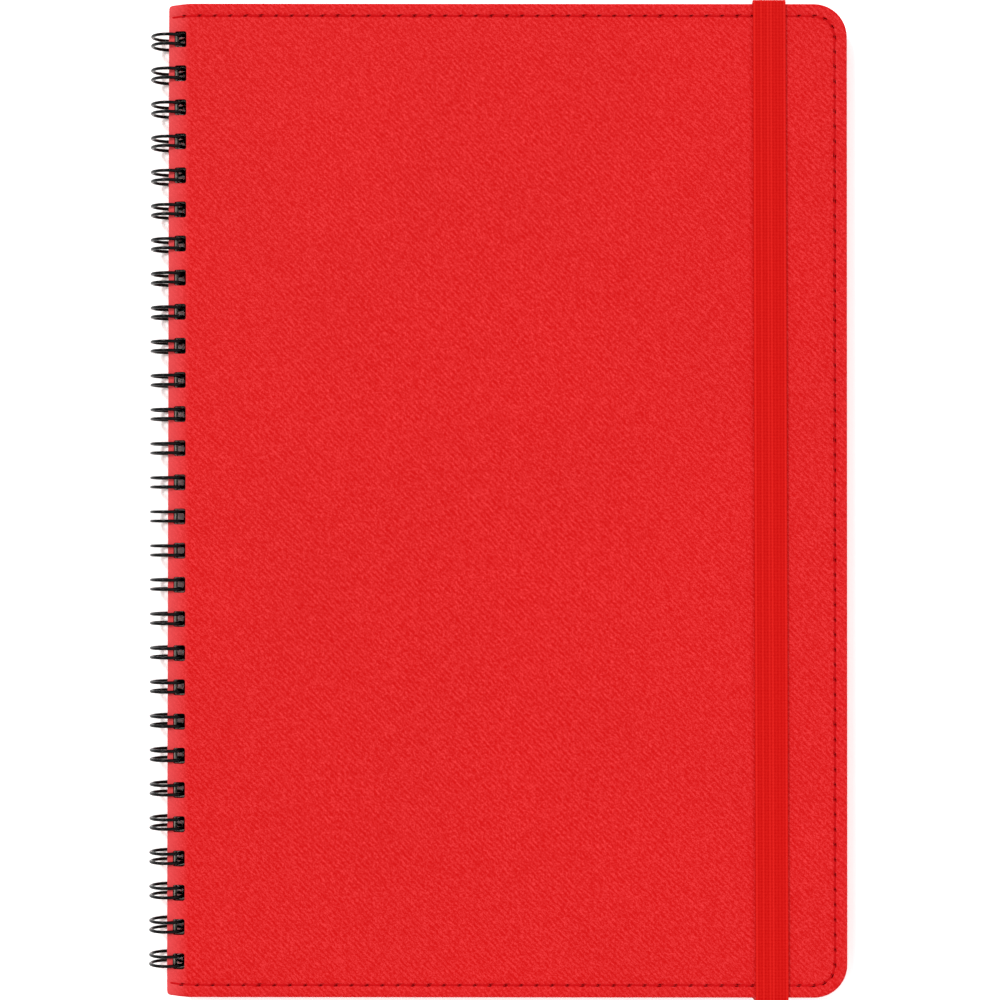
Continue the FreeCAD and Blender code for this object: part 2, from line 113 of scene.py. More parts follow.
def select_only(piece: bpy.types.Object) -> None:
    """Select one piece alone and make it the active one.

    Args:
        piece: The object to select.
    """
    bpy.ops.object.select_all(action="DESELECT")
    piece.select_set(True)
    bpy.context.view_layer.objects.active = piece


@contextmanager
def editing(piece: bpy.types.Object) -> Iterator[None]:
    """Work on one piece alone, in edit mode.

    Args:
        piece: The mesh object to shape.
    """
    select_only(piece)
    bpy.ops.object.mode_set(mode="EDIT")
    try:
        yield
    finally:
        bpy.ops.object.mode_set(mode="OBJECT")


def choose(piece: bpy.types.Object, kind: Element, test: Callable[..., bool]) -> None:
    """Select, in edit mode, only the elements that pass a test.

    Args:
        piece: The piece being edited.
        kind: Points, edges or faces.
        test: Says of one element whether it is wanted.
    """
    bpy.ops.mesh.select_mode(type=kind.value)
    bpy.ops.mesh.select_all(action="DESELECT")
    mesh = bmesh.from_edit_mesh(piece.data)
    pool = {Element.POINTS: mesh.verts, Element.EDGES: mesh.edges, Element.FACES: mesh.faces}[kind]
    for element in pool:
        if test(element):
            element.select_set(True)
    mesh.select_flush_mode()
    bmesh.update_edit_mesh(piece.data)


def slab(low: Vector, high: Vector, name: str) -> bpy.types.Object:
    """Add a box between two corners, with its place in its mesh.

    Args:
        low: Its lowest corner.
        high: Its highest corner.
        name: The object's name.

    Returns:
        The box.
    """
    bpy.ops.object.select_all(action="DESELECT")
    bpy.ops.mesh.primitive_cube_add(size=1, location=(low + high) / 2, scale=high - low)
    box = bpy.context.object
    bpy.ops.object.transform_apply(location=True, rotation=True, scale=True)
    box.name = name
    return box


def own_copy(piece: bpy.types.Object, name: str) -> bpy.types.Object:
    """Copy a piece with a mesh of its own, free of any body.

    Args:
        piece: The mesh object.
        name: The copy's name.

    Returns:
        The copy.
    """
    copy = bpy.data.objects.new(name, piece.data.copy())
    bpy.context.scene.collection.objects.link(copy)
    return copy


def merged_copy(node: str, name: str) -> bpy.types.Object:
    """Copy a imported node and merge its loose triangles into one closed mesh.

    Args:
        node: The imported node.
        name: The copy's name.

    Returns:
        The copy.
    """
    copy = own_copy(frame["nodes"][node], name)
    with editing(copy):
        bpy.ops.mesh.select_all(action="SELECT")
        bpy.ops.mesh.remove_doubles(threshold=SNAP)
    return copy


def join(pieces: Iterable[bpy.types.Object], name: str) -> bpy.types.Object:
    """Make one object of several.

    Args:
        pieces: The objects; the first one takes in the rest.
        name: Its new name.

    Returns:
        The one object.
    """
    pieces = list(pieces)
    bpy.ops.object.select_all(action="DESELECT")
    for piece in pieces:
        piece.select_set(True)
    bpy.context.view_layer.objects.active = pieces[0]
    bpy.ops.object.join()
    pieces[0].name = name
    return pieces[0]


def apply_modifier(piece: bpy.types.Object, kind: str, **settings: object) -> None:
    """Add one modifier, set it and apply it.

    Args:
        piece: The mesh object.
        kind: The modifier's type.
        settings: The modifier's own settings.
    """
    modifier = piece.modifiers.new(kind.lower(), kind)
    for name, setting in settings.items():
        setattr(modifier, name, setting)
    select_only(piece)
    bpy.ops.object.modifier_apply(modifier=modifier.name)


def cut_away(piece: bpy.types.Object, cutter: bpy.types.Object) -> None:
    """Take the cutter's shape out of the piece and throw the cutter away.

    Args:
        piece: What is cut.
        cutter: The shape that is taken out.
    """
    apply_modifier(
        piece,
        "BOOLEAN",
        operation="DIFFERENCE",
        solver="EXACT",
        material_mode="TRANSFER",
        object=cutter,
    )
    bpy.data.objects.remove(cutter)


def smooth(piece: bpy.types.Object, angle: float = TIDY_ANGLE) -> None:
    """Shade a piece smooth up to an angle, with large faces kept flat.

    Args:
        piece: The mesh object.
        angle: The sharpest bend that is still shaded smooth.
    """
    select_only(piece)
    bpy.ops.object.shade_smooth_by_angle(angle=angle)
    apply_modifier(piece, "WEIGHTED_NORMAL", keep_sharp=True)


def dress(piece: bpy.types.Object, material: bpy.types.Material) -> None:
    """Give every face of a piece one material."""
    piece.data.materials.clear()
    piece.data.materials.append(material)


def report(piece: bpy.types.Object) -> None:
    """Log a finished piece and how many faces it has."""
    log.info("%s: %d faces", piece.name, len(piece.data.polygons))


# Material helpers


def linear(colour: str) -> tuple[float, float, float, float]:
    """Turn an sRGB hex colour such as #E62B2C into linear light, with full alpha.

    Args:
        colour: The colour, with its hash.

    Returns:
        Red, green, blue and alpha.
    """
    shares = [int(colour[part], 16) / 255 for part in (RED, GREEN, BLUE)]
    channels = [s / 12.92 if s <= 0.04045 else ((s + 0.055) / 1.055) ** 2.4 for s in shares]
    return (channels[0], channels[1], channels[2], 1.0)


def new_material(name: str) -> tuple[bpy.types.Material, bpy.types.NodeTree, bpy.types.Node]:
    """Start a node material.

    Args:
        name: The finish's name.

    Returns:
        The material, its node tree and its surface shader.
    """
    material = bpy.data.materials.new(name)
    material.use_nodes = True
    tree = material.node_tree
    return material, tree, tree.nodes["Principled BSDF"]


def add_node(
    tree: bpy.types.NodeTree,
    kind: str,
    feeds: dict[str | int, object] | None = None,
    **settings: object,
) -> bpy.types.Node:
    """Add a node with its settings, values and links.

    Args:
        tree: The material's node tree.
        kind: The node's type, without the ShaderNode in front.
        feeds: For each input, an output to link to it or a value to set.
        settings: The node's own settings.

    Returns:
        The new node.
    """
    node = tree.nodes.new("ShaderNode" + kind)
    for name, setting in settings.items():
        setattr(node, name, setting)
    feed(tree, node, feeds or {})
    return node


def feed(tree: bpy.types.NodeTree, node: bpy.types.Node, feeds: dict[str | int, object]) -> None:
    """Link outputs to a node's inputs, or set their values.

    Args:
        tree: The material's node tree.
        node: The node that is fed.
        feeds: For each input, an output to link to it or a value to set.
    """
    for name, source in feeds.items():
        if isinstance(source, bpy.types.NodeSocket):
            tree.links.new(source, node.inputs[name])
        else:
            node.inputs[name].default_value = source


def ramp(node: bpy.types.Node, stops: Iterable[tuple[float, str]]) -> None:
    """Set a colour ramp's stops.

    Args:
        node: The colour ramp.
        stops: Each stop's position and sRGB hex colour.
    """
    elements = node.color_ramp.elements
    stops = list(stops)
    while len(elements) < len(stops):
        elements.new(0.5)
    for element, (position, colour) in zip(elements, stops):
        element.position = position
        element.color = linear(colour)


def finish_surface(
    tree: bpy.types.NodeTree,
    shader: bpy.types.Node,
    colour: bpy.types.NodeSocket,
    roughness: bpy.types.NodeSocket | float,
    relief: tuple[bpy.types.NodeSocket, float, float],
    specular: float,
) -> None:
    """Give a surface its colour, its gloss and its fine relief.

    Args:
        tree: The material's node tree.
        shader: Its surface shader.
        colour: The output that holds the colour.
        roughness: The output or the value for the roughness.
        relief: The output that holds the height, how high it stands, and its strength.
        specular: The specular level.
    """
    height, rise, strength = relief
    bump = add_node(tree, "Bump", {"Height": height, "Strength": strength, "Distance": rise})
    surface = {
        "Base Color": colour,
        "Roughness": roughness,
        "Normal": bump.outputs[0],
        "Specular IOR Level": specular,
    }
    feed(tree, shader, surface)


# Finishes


@dataclass(frozen=True)
class ImitationLeather:
    """Polyurethane-coated cloth, embossed with a fine slanted grain by a hot roller.

    The roller leaves low ridges that run down to the right, broken up by smaller pits. The face is satin, so
    the ridges catch a little light; their colour is also painted lighter than the slightly deeper red between
    them, as a painted glint on the ridges and painted shade in the hollows. Next to the spine a strip is
    painted paler and fades out: a painted sheen where the rolled edge catches the light.
    """

    name: str
    # The ridge colour is painted lighter, a painted glint; the hollow colour is deeper, painted shade.
    ridge: str = "#F83C3E"
    hollow: str = "#DA090B"
    slant: float = math.radians(45)
    ridge_pitch: float = 1.12 * MM
    ridge_height: float = 0.025 * MM
    dash: tuple[float, float] = (0.3 * MM, 0.95 * MM)
    pore: float = 0.3 * MM
    # A painted sheen: the paler red of the strip by the spine, where the rolled edge catches the light.
    painted_sheen: str = "#F2585B"
    painted_sheen_span: tuple[float, float] = (-81.6 * MM, -76.4 * MM)
    cloud: float = 35 * MM
    pore_share: float = 0.54
    broken_span: tuple[float, float] = (0.44, 0.68)
    ridge_share: float = 0.24
    painted_sheen_share: float = 0.75
    roughness: tuple[float, float] = (0.52, 0.38)
    specular: float = 0.1

    def material(self) -> bpy.types.Material:
        """Build the material.

        Returns:
            The finish, ready for a piece.
        """
        material, tree, shader = new_material(self.name)
        place = add_node(tree, "TexCoord").outputs["Object"]
        ridges = add_node(
            tree,
            "TexWave",
            {
                "Vector": self.turned(tree, place, self.ridge_pitch, self.ridge_pitch),
                "Scale": WAVE_UNIT,
                "Distortion": 1.3,
                "Detail": 1.0,
                "Detail Scale": 0.7,
            },
        )
        dashes = add_node(
            tree,
            "TexNoise",
            {"Vector": self.turned(tree, place, *self.dash), "Scale": 1.0, "Detail": 1.5, "Roughness": 0.6},
        )
        pores = add_node(tree, "TexNoise", {"Vector": place, "Scale": 1 / self.pore, "Detail": 1.0})
        pits = {0: self.pore_share, 2: dashes.outputs[0], 3: pores.outputs[0]}
        mixed = add_node(tree, "Mix", pits, data_type="FLOAT")
        start, end = self.broken_span
        broken = add_node(tree, "MapRange", {0: mixed.outputs[0], 1: start, 2: end})
        lines = {0: self.ridge_share, 2: broken.outputs[0], 3: ridges.outputs["Fac"]}
        grain = add_node(tree, "Mix", lines, data_type="FLOAT")
        # Raised grain takes the lighter colour: painted glint on the ridges and painted shade in the hollows.
        tint = add_node(tree, "ValToRGB", {0: grain.outputs[0]})
        ramp(tint, [(0.1, self.hollow), (0.9, self.ridge)])
        # Next to the spine a paler colour is mixed in: a painted sheen on the rolled edge, fading out across
        # it.
        across = add_node(tree, "SeparateXYZ", {0: place})
        start, end = self.painted_sheen_span
        fading = {0: across.outputs[0], 1: start, 2: end, 3: self.painted_sheen_share, 4: 0.0}
        strip = add_node(tree, "MapRange", fading)
        paled_tone = add_node(
            tree,
            "Mix",
            {0: strip.outputs[0], 6: tint.outputs[0], 7: linear(self.painted_sheen)},
            data_type="RGBA",
        )
        clouds = add_node(tree, "TexNoise", {"Vector": place, "Scale": 1 / self.cloud, "Detail": 1.0})
        faint = {0: clouds.outputs[0], 1: NOISE_LOW, 2: NOISE_HIGH, 3: 0.98, 4: 1.01}
        shade = add_node(tree, "MapRange", faint)
        coloured = add_node(
            tree,
            "Mix",
            {0: 1.0, 6: paled_tone.outputs[2], 7: shade.outputs[0]},
            data_type="RGBA",
            blend_type="MULTIPLY",
        )
        dull, satin = self.roughness
        gloss = add_node(tree, "MapRange", {0: grain.outputs[0], 1: 0.2, 2: 0.8, 3: dull, 4: satin})
        relief = (grain.outputs[0], self.ridge_height, 1.0)
        finish_surface(tree, shader, coloured.outputs[2], gloss.outputs[0], relief, self.specular)
        return material

    def turned(
        self, tree: bpy.types.NodeTree, place: bpy.types.NodeSocket, across: float, along: float
    ) -> bpy.types.NodeSocket:
        """Coordinates turned to the grain's slant, one unit to each size."""
        sizes = {"Vector": place, "Rotation": (0, 0, self.slant), "Scale": (across, along, across)}
        return add_node(tree, "Mapping", sizes, vector_type="TEXTURE").outputs[0]


@dataclass(frozen=True)
class PlainFinish:
    """A matt or satin surface with a fine, even noise in its colour and height."""

    name: str
    light: str
    dark: str
    grain: float
    height: float
    roughness: float
    specular: float = 0.3

    def material(self) -> bpy.types.Material:
        """Build the material.

        Returns:
            The finish, ready for a piece.
        """
        material, tree, shader = new_material(self.name)
        place = add_node(tree, "TexCoord").outputs["Object"]
        scale = (self.grain, self.grain, self.grain)
        sized = add_node(tree, "Mapping", {"Vector": place, "Scale": scale}, vector_type="TEXTURE")
        noise = add_node(tree, "TexNoise", {"Vector": sized.outputs[0], "Scale": 1.0, "Detail": 3.0})
        tint = add_node(tree, "ValToRGB", {0: noise.outputs[0]})
        ramp(tint, [(0.35, self.dark), (0.65, self.light)])
        relief = (noise.outputs[0], self.height, 1.0)
        finish_surface(tree, shader, tint.outputs[0], self.roughness, relief, self.specular)
        return material


@dataclass(frozen=True)
class RibbedElastic:
    """Woven elastic tape: rubber cords under a polyester weave, dyed red.

    The cords stand up as ribs along the tape, and between them the weft shows as rows of small beads. The
    tape is satin, so the ribs catch a soft light. The cords' heights differ, as the light and dark ribs do in
    the photograph. The colour follows the height: crests are painted lighter and valleys darker, as painted
    light and shade on the one red dye.
    """

    name: str
    left: float
    width: float
    lean: float
    # Painted light and shade: the lighter colour goes on the crests, the darker one in the valleys.
    lit_crest: str = "#F0231D"
    valley: str = "#CD0101"
    cord_heights: tuple[float, ...] = (1.0, 0.35, 0.8, 0.35, 0.8, 0.9, 0.4, 0.45, 0.4, 1.0)
    bead_pitch: float = 0.8 * MM
    bead_share: float = 0.12
    rise: float = 0.07 * MM
    fuzz: float = 0.3 * MM
    unevenness: float = 0.2
    roughness: float = 0.6
    specular: float = 0.07

    def material(self) -> bpy.types.Material:
        """Build the material.

        Returns:
            The finish, ready for a piece.
        """
        material, tree, shader = new_material(self.name)
        place = add_node(tree, "TexCoord").outputs["Object"]
        parts = add_node(tree, "SeparateXYZ", {0: place})
        upright = add_node(
            tree,
            "Math",
            {0: parts.outputs[1], 1: self.lean, 2: parts.outputs[0]},
            operation="MULTIPLY_ADD",
        )
        share = add_node(
            tree,
            "MapRange",
            {0: upright.outputs[0], 1: self.left, 2: self.left + self.width},
        )
        run = add_node(tree, "Math", {0: parts.outputs[1], 1: parts.outputs[2]}, operation="ADD")
        cords = add_node(tree, "ValToRGB", {0: share.outputs[0]})
        self.profile(cords)
        beads = self.waves(tree, run.outputs[0], self.bead_pitch)
        beaded = add_node(tree, "Math", {0: beads, 1: self.bead_share}, operation="MULTIPLY")
        weave = add_node(
            tree, "Math", {0: cords.outputs[0], 1: beaded.outputs[0]}, operation="ADD"
        )
        fuzz = add_node(tree, "TexNoise", {"Vector": place, "Scale": 1 / self.fuzz, "Detail": 2.0})
        swing = self.unevenness
        yarns = {0: fuzz.outputs[0], 1: NOISE_LOW, 2: NOISE_HIGH, 3: -swing, 4: swing}
        uneven = add_node(tree, "MapRange", yarns)
        height = add_node(tree, "Math", {0: weave.outputs[0], 1: uneven.outputs[0]}, operation="ADD")
        # The colour follows the height: painted light on the crests and painted shade in the valleys.
        whole = {0: height.outputs[0], 1: -swing, 2: 1.0 + swing, 3: 0.0, 4: 1.0}
        tint_place = add_node(tree, "MapRange", whole)
        tint = add_node(tree, "ValToRGB", {0: tint_place.outputs[0]})
        ramp(tint, [(0.0, self.valley), (1.0, self.lit_crest)])
        relief = (height.outputs[0], self.rise, 1.0)
        finish_surface(tree, shader, tint.outputs[0], self.roughness, relief, self.specular)
        return material

    def profile(self, node: bpy.types.Node) -> None:
        """Set a ramp to the tape's section: a crest for each cord and a valley between two.

        Args:
            node: The colour ramp that holds the section.
        """
        count = len(self.cord_heights)
        stops = [(0.0, 0.0)]
        for i, height in enumerate(self.cord_heights):
            stops += [((i + 0.5) / count, height), ((i + 1) / count, 0.0)]
        elements = node.color_ramp.elements
        node.color_ramp.interpolation = "EASE"
        while len(elements) < len(stops):
            elements.new(0.5)
        for element, (position, height) in zip(elements, stops):
            element.position = position
            element.color = (height, height, height, 1.0)

    @staticmethod
    def waves(
        tree: bpy.types.NodeTree, run: bpy.types.NodeSocket, pitch: float
    ) -> bpy.types.NodeSocket:
        """A cosine along one length, from -1 to 1."""
        turns = add_node(tree, "Math", {0: run, 1: 2 * math.pi / pitch}, operation="MULTIPLY")
        return add_node(tree, "Math", {0: turns.outputs[0]}, operation="COSINE").outputs[0]


@dataclass(frozen=True)
class SheetPaper:
    """Uncoated wood-free writing paper, cut in a stack by a guillotine.

    The faces are smooth, matt and faintly warm. On the cut edges the sheets show as fine lines,
    drawn here one for each two or three sheets, so that they still show from a step away.
    """

    name: str
    face: str = "#F3EEE2"
    shadow: str = "#D6CCB8"
    line_pitch: float = 0.2 * MM
    line_length: float = 20 * MM
    fibre: float = 0.25 * MM
    fibre_height: float = 0.01 * MM
    roughness: float = 0.85
    specular: float = 0.25

    def material(self) -> bpy.types.Material:
        """Build the material.

        Returns:
            The finish, ready for a piece.
        """
        material, tree, shader = new_material(self.name)
        place = add_node(tree, "TexCoord").outputs["Object"]
        sized = add_node(
            tree,
            "Mapping",
            {"Vector": place, "Scale": (self.line_length, self.line_length, self.line_pitch / 2)},
            vector_type="TEXTURE",
        )
        lines = add_node(tree, "TexNoise", {"Vector": sized.outputs[0], "Scale": 1.0, "Detail": 1.0})
        normal = add_node(tree, "NewGeometry").outputs["Normal"]
        upright = add_node(tree, "SeparateXYZ", {0: normal})
        flat = add_node(tree, "Math", {0: upright.outputs[2]}, operation="ABSOLUTE")
        edge = add_node(tree, "MapRange", {0: flat.outputs[0], 1: 0.3, 2: 0.7, 3: 1.0, 4: 0.0})
        drawn = add_node(tree, "MapRange", {0: lines.outputs[0], 1: 0.42, 2: 0.58, 3: 1.0, 4: 0.0})
        share = add_node(tree, "Math", {0: drawn.outputs[0], 1: edge.outputs[0]}, operation="MULTIPLY")
        tint = add_node(
            tree,
            "Mix",
            {0: share.outputs[0], 6: linear(self.face), 7: linear(self.shadow)},
            data_type="RGBA",
        )
        fibres = add_node(tree, "TexNoise", {"Vector": place, "Scale": 1 / self.fibre, "Detail": 3.0})
        relief = (fibres.outputs[0], self.fibre_height, 0.6)
        finish_surface(tree, shader, tint.outputs[2], self.roughness, relief, self.specular)
        return material


@dataclass(frozen=True)
class CoatedWire:
    """Steel wire with a nylon coat, fused on as powder: black, smooth and half glossy."""

    name: str
    coat: str = "#020203"
    paled_tone: str = "#070708"
    patch: float = 1.5 * MM
    roughness: tuple[float, float] = (0.16, 0.24)
    ripple: float = 0.01 * MM
    specular: float = 0.16

    def material(self) -> bpy.types.Material:
        """Build the material.

        Returns:
            The finish, ready for a piece.
        """
        material, tree, shader = new_material(self.name)
        place = add_node(tree, "TexCoord").outputs["Object"]
        noise = add_node(tree, "TexNoise", {"Vector": place, "Scale": 1 / self.patch, "Detail": 3.0})
        tint = add_node(tree, "ValToRGB", {0: noise.outputs[0]})
        ramp(tint, [(0.4, self.coat), (0.75, self.paled_tone)])
        sleek, dull = self.roughness
        patches = {0: noise.outputs[0], 1: NOISE_LOW, 2: NOISE_HIGH, 3: sleek, 4: dull}
        gloss = add_node(tree, "MapRange", patches)
        relief = (noise.outputs[0], self.ripple, 0.5)
        finish_surface(tree, shader, tint.outputs[0], gloss.outputs[0], relief, self.specular)
        return material


# The covers


@dataclass
class SeamLine:
    """The line of needle holes along the head, the fore edge and the foot of a cover."""

    low: Vector
    high: Vector
    corner: float = 8.2 * MM
    inset: float = 3.1 * MM
    head_stitches: int = 42
    corner_stitches: int = 3
    fore_stitches: int = 62

    def __post_init__(self) -> None:
        """Work out the straights between the corner arcs."""
        self.bend = self.corner - self.inset
        self.head_run = self.high.x - self.low.x - self.corner
        self.fore_run = self.high.y - self.low.y - 2 * self.corner

    def needle_points(self) -> list[Vector]:
        """The needle holes in plan, from the spine along the head to the spine along the foot.

        Returns:
            Their places, at height 0.
        """
        top = self.high.y - self.inset
        centre = Vector((self.high.x - self.corner, self.high.y - self.corner, 0))
        head = [
            Vector((self.low.x + self.head_run * i / self.head_stitches, top, 0))
            for i in range(1, self.head_stitches + 1)
        ]
        arc = []
        for i in range(1, self.corner_stitches + 1):
            angle = math.pi / 2 * (1 - i / self.corner_stitches)
            arc.append(centre + self.bend * Vector((math.cos(angle), math.sin(angle), 0)))
        half = head + arc
        side = [
            Vector((half[-1].x, half[-1].y - self.fore_run * i / self.fore_stitches, 0))
            for i in range(1, self.fore_stitches)
        ]
        foot = [Vector((point.x, self.high.y + self.low.y - point.y, 0)) for point in reversed(half)]
        return half + side + foot


@dataclass(frozen=True)
class PunchRow:
    """The row of punched holes for the wire's loops, in a cover or in the sheets."""

    edge: float
    size: tuple[float, float]
    corner_steps: int
    corner: float = 0.5 * MM
    count: int = 28
    pitch: float = 8.4667 * MM

    def one_punch(self, spine_x: float, low_z: float, high_z: float) -> bpy.types.Object:
        """Shape the cutter for the hole nearest the foot, with round corners.

        Args:
            spine_x: The spine edge that the holes keep their distance from.
            low_z: The cutter's lower end.
            high_z: The cutter's upper end.

        Returns:
            The cutter.
        """
        left = spine_x + self.edge
        across, along = self.size
        first = -(self.count - 1) / 2 * self.pitch
        low = Vector((left, first - along / 2, low_z))
        high = Vector((left + across, first + along / 2, high_z))
        punch = slab(low, high, "punch")
        with editing(punch):
            choose(punch, Element.EDGES, lambda edge: abs(edge.verts[0].co.z - edge.verts[1].co.z) > MM / 2)
            bpy.ops.mesh.bevel(offset=self.corner, segments=self.corner_steps)
        return punch

    def repeat(self, punch: bpy.types.Object) -> None:
        """Copy the cutter to the place of every loop.

        Args:
            punch: The cutter for the hole nearest the foot.
        """
        apply_modifier(
            punch,
            "ARRAY",
            count=self.count,
            use_relative_offset=False,
            use_constant_offset=True,
            constant_offset_displace=(0, self.pitch, 0),
        )


@dataclass
class Cover:
    """One cover: imitation leather wrapped round a board, lined and sewn along three edges."""

    side: Side
    leather: bpy.types.Material
    cut_edge_shade: bpy.types.Material
    needle_shade: bpy.types.Material
    thread: bpy.types.Material
    board_painted_shade: bpy.types.Material
    lining_paper: bpy.types.Material
    fore_corner: float = 8.2 * MM
    corner_steps: int = 12
    steps_per_stitch: int = 4
    rim_drop: float = 0.55 * MM
    turn_drop: float = 0.40 * MM
    spine_round: float = 0.5 * MM
    roll_columns: int = 6
    roll_drop: float = 0.35 * MM
    pinch: float = 0.6 * MM
    pinch_band: float = 7.0 * MM
    pucker: float = 0.07 * MM
    pucker_reach: float = 1.4 * MM
    needle_reach: float = 0.2 * MM
    holes: PunchRow = PunchRow(edge=1.53 * MM, size=(2.79 * MM, 3.79 * MM), corner_steps=4)
    hole_flare: float = 0.14 * MM
    flare_start: float = 0.32 * MM
    flare_height: float = 0.40 * MM
    pit_size: tuple[float, float, float] = (1.6 * MM, 0.66 * MM, 0.4 * MM)
    pit_slant: float = math.radians(14)
    thread_radius: float = 0.28 * MM
    thread_sink: float = 0.24 * MM
    inner_rise: float = 0.02 * MM
    seam_start: float = 0.3 * MM
    dive: tuple[tuple[float, float], ...] = ((0.45, 0.15 * MM), (0.35, 0.3 * MM), (0.25, 0.1 * MM))
    flattening: float = 0.7
    lining_reach: float = 0.05 * MM
    slit_clearance: float = 0.1 * MM
    slit_depth: float = 6.2 * MM
    outer_border: tuple[tuple[float, float], ...] = (
        (0.08, 0.24),
        (0.16, 0.18),
        (0.26, 0.10),
        (0.45, 0.05),
        (0.55, 0.01),
        (0.60, -0.02),
        (0.50, -0.08),
        (0.25, -0.11),
        (0.25, -0.10),
        (0.25, 0.10),
        (0.25, 0.11),
        (0.60, 0.06),
        (1.00, 0.01),
    )
    inner_border: tuple[tuple[float, float], ...] = (
        (0.10, 0.22),
        (0.20, 0.12),
        (0.35, 0.06),
        (2.15, 0.00),
        (0.30, -0.10),
        (0.30, 0.10),
    )

    def __post_init__(self) -> None:
        """Take the cover's place from its packed skin."""
        self.low, self.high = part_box(Side.FRONT.value + "_skin")
        self.middle_z = (self.low.z + self.high.z) / 2
        self.seam = SeamLine(self.low, self.high, corner=self.fore_corner)
        self.column = self.seam.head_run / self.seam.head_stitches / self.steps_per_stitch

    def roll_at(self, x: float) -> float:
        """How far the outer face has dropped at one place across the spine."""
        ahead = max(0.0, 1 - (x - self.low.x) / (self.roll_columns * self.column))
        return self.roll_drop * ahead**2

    def pinch_at(self, x: float) -> float:
        """How far head and foot have drawn in at one place across the spine."""
        return self.pinch * max(0.0, 1 - (x - self.low.x) / (self.roll_columns * self.column)) ** 1.5

    def blank(self) -> bpy.types.Object:
        """Shape the closed front cover: soft rim, sunk seam, rolled spine, round corners.

        Returns:
            The blank.
        """
        spare_columns = 4 * self.steps_per_stitch
        spare = spare_columns * self.column
        bpy.ops.object.select_all(action="DESELECT")
        size = Vector((self.high.x - self.low.x + spare, self.high.y - self.low.y, 1))
        centre = Vector(((self.high.x + self.low.x - spare) / 2, 0, self.high.z - self.rim_drop))
        bpy.ops.mesh.primitive_plane_add(size=1, location=centre)
        piece = bpy.context.object
        piece.scale = size
        bpy.ops.object.transform_apply(location=True, scale=True)
        piece.name = "cover_blank"
        far = self.high.x - SNAP
        with editing(piece):
            choose(piece, Element.POINTS, lambda point: point.co.x > far)
            bpy.ops.mesh.bevel(offset=self.fore_corner, segments=self.corner_steps, affect="VERTICES")
            edge_y = self.high.y - SNAP
            choose(piece, Element.EDGES, lambda edge: abs(middle(edge).y) > edge_y)
            head_cuts = self.seam.head_stitches * self.steps_per_stitch + spare_columns - 1
            bpy.ops.mesh.subdivide(number_cuts=head_cuts)
            choose(piece, Element.EDGES, lambda edge: middle(edge).x > far and edge.calc_length() > 0.1)
            bpy.ops.mesh.subdivide(number_cuts=self.seam.fore_stitches * self.steps_per_stitch - 1)
            bpy.ops.mesh.select_all(action="SELECT")
            self.inset_border(self.outer_border)
            self.close_underside(piece)
            self.roll_spine(piece)
        return piece

    @staticmethod
    def inset_border(steps: tuple[tuple[float, float], ...]) -> None:
        """Inset the selected face step by step; each step goes inwards and up, in millimetres."""
        for inwards, rise in steps:
            bpy.ops.mesh.inset(thickness=inwards * MM, depth=rise * MM)

    def close_underside(self, piece: bpy.types.Object) -> None:
        """Draw the edges down round the board and close the inner face, with its own seam.

        Args:
            piece: The cover being shaped.
        """
        wall = self.high.z - self.rim_drop - self.low.z - self.turn_drop
        choose(piece, Element.EDGES, lambda edge: edge.is_boundary)
        bpy.ops.mesh.extrude_edges_move(TRANSFORM_OT_translate={"value": (0, 0, -wall)})
        bpy.ops.mesh.edge_face_add()
        bpy.ops.mesh.select_all(action="SELECT")
        bpy.ops.mesh.normals_make_consistent(inside=False)
        choose(piece, Element.FACES, lambda face: face.normal.z < -WALL_SLOPE)
        self.inset_border(self.inner_border)

    def roll_spine(self, piece: bpy.types.Object) -> None:
        """Trim the spine edge, roll the outer face down to it and round it over.

        Args:
            piece: The cover being shaped.
        """
        for step in range(1, self.roll_columns + 1):
            bpy.ops.mesh.select_all(action="SELECT")
            bpy.ops.mesh.bisect(
                plane_co=(self.low.x + step * self.column, 0, 0),
                plane_no=(1, 0, 0),
                clear_inner=step == 1,
                threshold=SNAP,
            )
        near = self.column / 4
        inner_y = self.high.y - self.pinch_band
        for step in range(1, self.roll_columns):
            x = self.low.x + step * self.column
            choose(
                piece,
                Element.POINTS,
                lambda point: abs(point.co.x - x) < near and point.co.z > self.middle_z,
            )
            bpy.ops.transform.translate(value=(0, 0, -self.roll_at(x)))
            for way in (1, -1):
                choose(
                    piece,
                    Element.POINTS,
                    lambda point: abs(point.co.x - x) < near and point.co.y * way > inner_y,
                )
                bpy.ops.transform.translate(value=(0, -way * self.pinch_at(x), 0))
        start = self.low.x + self.column
        middle_z = (self.low.z + self.high.z - self.roll_at(start)) / 2
        half = (self.high.z - self.roll_at(start) - self.low.z) / 2
        choose(piece, Element.EDGES, lambda edge: edge.is_boundary)
        last_out, last_in = 0.0, 0.0
        for angle in (math.radians(30), math.radians(60), math.radians(90)):
            out, inwards = math.sin(angle), 1 - math.cos(angle)
            bpy.ops.mesh.extrude_edges_move(
                TRANSFORM_OT_translate={"value": ((last_out - out) * self.column, 0, 0)}
            )
            narrower = (self.high.y - inwards * self.column) / (self.high.y - last_in * self.column)
            thinner = (half - inwards * self.spine_round) / (half - last_in * self.spine_round)
            bpy.ops.transform.resize(
                value=(1, narrower, thinner),
                center_override=(start - out * self.column, 0, middle_z),
            )
            last_out, last_in = out, inwards
        bpy.ops.mesh.edge_face_add()
        bpy.ops.mesh.select_all(action="SELECT")
        bpy.ops.mesh.normals_make_consistent(inside=False)

    def pull_down_seam(self, piece: bpy.types.Object) -> None:
        """Pucker the leather: each needle hole has pulled the groove down round it.

        Args:
            piece: The cover being shaped.
        """
        points = self.seam.needle_points()
        tree = KDTree(len(points))
        for i, point in enumerate(points):
            tree.insert(point, i)
        tree.balance()
        floor = self.high.z - self.rim_drop

